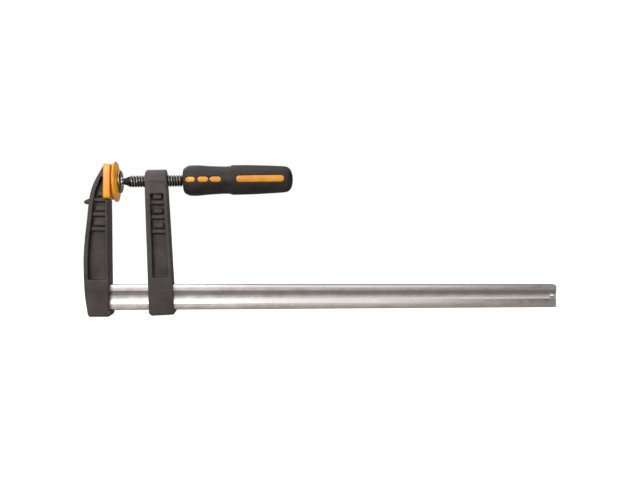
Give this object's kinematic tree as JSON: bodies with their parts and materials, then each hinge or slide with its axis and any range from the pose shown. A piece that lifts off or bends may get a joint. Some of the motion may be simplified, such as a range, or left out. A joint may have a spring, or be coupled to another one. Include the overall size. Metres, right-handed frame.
{
  "type": "f clamp",
  "caption": "F-style bar clamp: fixed jaw on a flat rail, canting sliding arm, screw with moulded handle and a swivelling pressure pad.",
  "frame": {"origin": "middle of the fixed jaw cap's clamping face", "axes": "+X along the rail, away from the fixed jaw, which is also the cap face's normal; +Z from the rail towards the spindle; +Y across the rail; stands on the jaw's foot"},
  "size_m": [0.5817, 0.0464, 0.1781],
  "materials": {
    "zinc_plated_steel": "bright drawn steel bar, zinc plated, fine lengthwise draw lines",
    "bright_pin_steel": "bright turned steel",
    "black_casting": "black textured enamel over malleable cast iron",
    "black_steel": "black oxide, lightly oiled",
    "hardened_steel": "hardened steel, dull grey",
    "chrome": "polished chrome",
    "bronzed_steel": "yellow passivated steel, dull olive",
    "liner_polymer": "natural low-friction polymer",
    "orange_plastic": "orange moulded plastic, satin",
    "orange_handle_plastic": "orange moulded plastic, semi-gloss",
    "black_grip": "black soft grip, fine matt grain"
  },
  "bodies": {
    "rail_frame": {"rail": "zinc_plated_steel", "end_stop_pin": "bright_pin_steel", "fixed_jaw": "black_casting", "jaw_pin_upper": "black_steel", "jaw_pin_lower": "black_steel", "jaw_cap": "orange_plastic"},
    "slider": {"grip_pin_upper": "hardened_steel"},
    "arm": {"sliding_arm": "black_casting", "grip_pin_lower": "hardened_steel"},
    "screw_end": {"spindle_ball": "chrome"},
    "screw": {"spindle": "black_steel", "handle_core": "orange_handle_plastic", "handle_grip": "black_grip"},
    "pad_tilt": {"pad_seat": "liner_polymer"},
    "pad_swing": {"retaining_ring": "bronzed_steel"},
    "pad": {"pressure_plate": "hardened_steel", "pad_cap": "orange_plastic"}
  },
  "joints": [
    {"name": "arm_slide", "type": "slide", "parent": "rail_frame", "child": "slider", "axis": [1, 0, 0], "range_m": [0, 0.4738]},
    {"name": "arm_rock", "type": "hinge", "parent": "slider", "child": "arm", "pos_m": [0.06438, 0, -0.1147], "axis": [0, 1, 0], "range_deg": [0, 3]},
    {"name": "spindle_advance", "type": "slide", "parent": "arm", "child": "screw_end", "axis": [0.9991, 0, 0.0419], "range_m": [0, 0.021]},
    {"name": "spindle_turn", "type": "hinge", "parent": "screw_end", "child": "screw", "pos_m": [0.0077, 0, 0.00076], "axis": [0.9991, 0, 0.0419], "range_deg": [0, 2521]},
    {"name": "pad_tilt", "type": "hinge", "parent": "screw_end", "child": "pad_tilt", "pos_m": [0.0077, 0, 0.00076], "axis": [0, 1, 0], "range_deg": [-3, 8]},
    {"name": "pad_swing", "type": "hinge", "parent": "pad_tilt", "child": "pad_swing", "pos_m": [0.0077, 0, 0.00076], "axis": [-0.0419, 0, 0.9991], "range_deg": [-3, 3]},
    {"name": "pad_spin", "type": "hinge", "parent": "pad_swing", "child": "pad", "pos_m": [0.0077, 0, 0.00076], "axis": [0.9991, 0, 0.0419], "continuous": true}
  ],
  "couplings": [
    {"joint": "spindle_turn", "follows": "spindle_advance", "rad_per_m": 2094.4}
  ]
}
